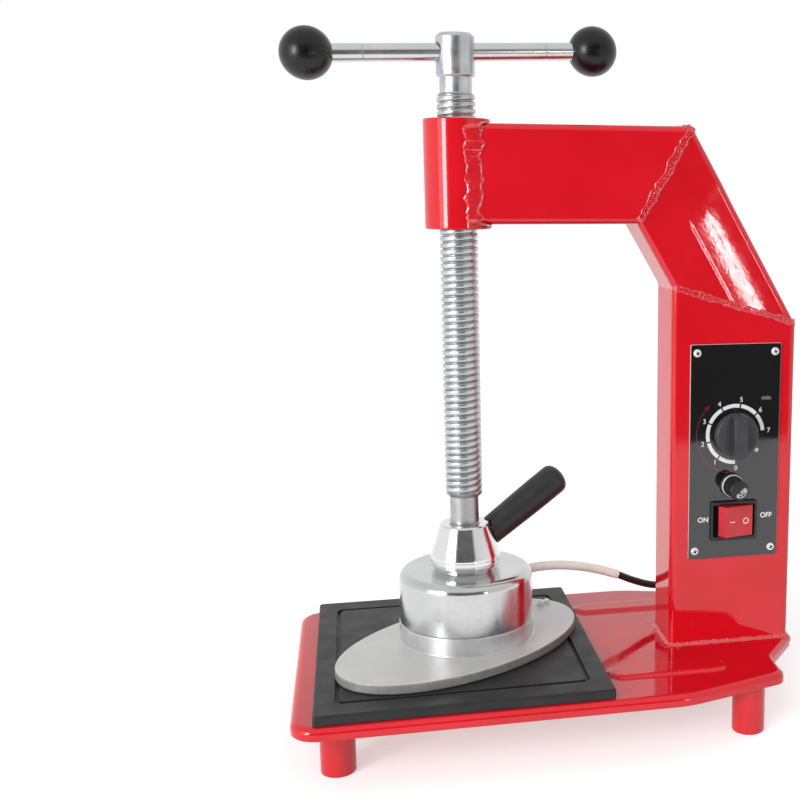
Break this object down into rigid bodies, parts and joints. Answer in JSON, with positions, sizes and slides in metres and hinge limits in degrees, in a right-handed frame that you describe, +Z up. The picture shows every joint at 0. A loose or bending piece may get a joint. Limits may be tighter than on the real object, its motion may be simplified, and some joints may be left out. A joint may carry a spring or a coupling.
{
  "type": "tire vulcanizer",
  "caption": "Bench tyre-patch vulcanizer: welded C-frame screw press that lowers an electrically heated oval plate onto a rubber pad, with a timer panel on its post.",
  "frame": {"origin": "middle of the base at the floor, under the feet", "axes": "+Z up along the screw, +X from the pressing side to the post, -Y towards the operator and the panel's face"},
  "size_m": [0.393, 0.236, 0.527],
  "materials": {
    "red_paint": "gloss red paint",
    "pad_rubber": "smooth black rubber",
    "black_panel": "printed matte black sheet",
    "black_plastic": "moulded black plastic",
    "grey_plastic": "moulded grey plastic",
    "rocker_red": "translucent red plastic",
    "bakelite": "polished black thermoset",
    "zinc_steel": "bright zinc plate",
    "black_steel": "black oxide",
    "chrome": "chrome plate",
    "polished_aluminium": "turned and mirror polished",
    "cast_aluminium": "fine cast, matt",
    "brass": "bare brass",
    "glass": "clear glass",
    "ceramic": "fired ceramic and mica",
    "sleeve_fabric": "braided glass-fibre sleeve",
    "lead_rubber": "black flexible lead"
  },
  "bodies": {
    "frame": {"base_plate": "red_paint", "base_feet": "red_paint", "post_tube": "red_paint", "brace_tube": "red_paint", "arm_tube": "red_paint", "screw_bush": "red_paint", "press_pad": "pad_rubber", "control_panel": "black_panel", "panel_screws": "zinc_steel", "timer_body": "grey_plastic", "timer_nut": "zinc_steel", "rocker_frame": "black_plastic", "rocker_terminals": "brass", "fuse_holder": "black_plastic", "fuse_ring": "zinc_steel", "fuse_nut": "black_plastic", "terminal_block": "ceramic", "lead_gland": "black_plastic", "mains_gland": "black_plastic", "lead_black": "lead_rubber"},
    "carrier": {"thrust_ball": "zinc_steel", "lead_sleeve": "sleeve_fabric"},
    "spindle": {"spindle_screw": "zinc_steel"},
    "bar": {"tommy_bar": "chrome", "ball_knob_left": "bakelite", "ball_knob_right": "bakelite"},
    "head": {"heating_plate": "cast_aluminium", "plate_studs": "zinc_steel", "heater_drum": "polished_aluminium", "heating_element": "ceramic", "mica_discs": "ceramic", "pressure_plate": "zinc_steel", "clamp_screws": "zinc_steel", "thermostat": "ceramic", "cone_socket": "polished_aluminium", "socket_stud": "zinc_steel", "socket_nut": "zinc_steel", "retaining_screws": "black_steel", "handle_stud": "zinc_steel", "handle_grip": "bakelite", "head_gland": "ceramic"},
    "timer": {"timer_shaft": "zinc_steel", "timer_knob": "grey_plastic"},
    "rocker": {"rocker_button": "rocker_red"},
    "fuse": {"fuse_glass": "glass", "fuse_ends": "brass"},
    "cap": {"fuse_cap": "black_plastic"}
  },
  "joints": [
    {"name": "head_lift", "type": "slide", "parent": "frame", "child": "carrier", "axis": [0, 0, 1], "range_m": [0, 0.18], "deforming": ["lead_black"]},
    {"name": "screw_turn", "type": "hinge", "parent": "carrier", "child": "spindle", "pos_m": [-0.0655, 0, 0.3], "axis": [0, 0, 1], "range_deg": [0, 12960]},
    {"name": "head_swivel", "type": "hinge", "parent": "carrier", "child": "head", "pos_m": [-0.0655, 0, 0.3], "axis": [0, 0, 1], "range_deg": [-30, 30], "deforming": ["lead_sleeve"]},
    {"name": "bar_slide", "type": "slide", "parent": "spindle", "child": "bar", "axis": [0.9899, 0.1338, 0.0462], "range_m": [-0.07, 0.07]},
    {"name": "timer_turn", "type": "hinge", "parent": "frame", "child": "timer", "pos_m": [0.1437, -0.03, 0.2184], "axis": [0, 1, 0], "range_deg": [-48, 271]},
    {"name": "rocker_tip", "type": "hinge", "parent": "frame", "child": "rocker", "pos_m": [0.1437, -0.018, 0.149], "axis": [0, 0, -1], "range_deg": [0, 24]},
    {"name": "fuse_pull", "type": "slide", "parent": "frame", "child": "fuse", "axis": [0, -1, 0], "range_m": [0, 0.03]},
    {"name": "fuse_cap_turn", "type": "hinge", "parent": "fuse", "child": "cap", "pos_m": [0.142, -0.03, 0.1775], "axis": [0, 1, 0], "range_deg": [-45, 0]}
  ],
  "couplings": [
    {"joint": "head_lift", "follows": "screw_turn", "m_per_rad": 0.00079577}
  ]
}
